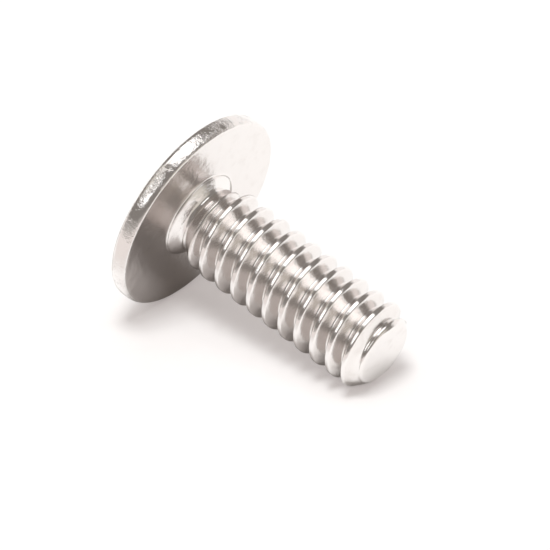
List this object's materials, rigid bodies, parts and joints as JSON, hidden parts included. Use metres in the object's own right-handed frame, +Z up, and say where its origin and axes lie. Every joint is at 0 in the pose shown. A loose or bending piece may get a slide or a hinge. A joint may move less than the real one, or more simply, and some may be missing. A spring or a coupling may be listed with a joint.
{
  "type": "truss head screw",
  "caption": "Small truss head machine screw with a low wide dome on a thick rim, a flat underside, a short flared collar, a full unified thread, a chamfered point and a cross recess.",
  "frame": {"origin": "middle of the footprint of the lying screw, on the floor", "axes": "+Z up; +X is the way the tip points; the screw lies on the rim of its head and on its last full crest, so its axis leans 14.69 degrees down from the head to the tip"},
  "size_m": [0.0152, 0.0108, 0.0106],
  "materials": {
    "bright_steel": "bright, smooth as rolled and headed"
  },
  "bodies": {
    "root": {"truss_head_screw": "bright_steel"}
  },
  "joints": []
}
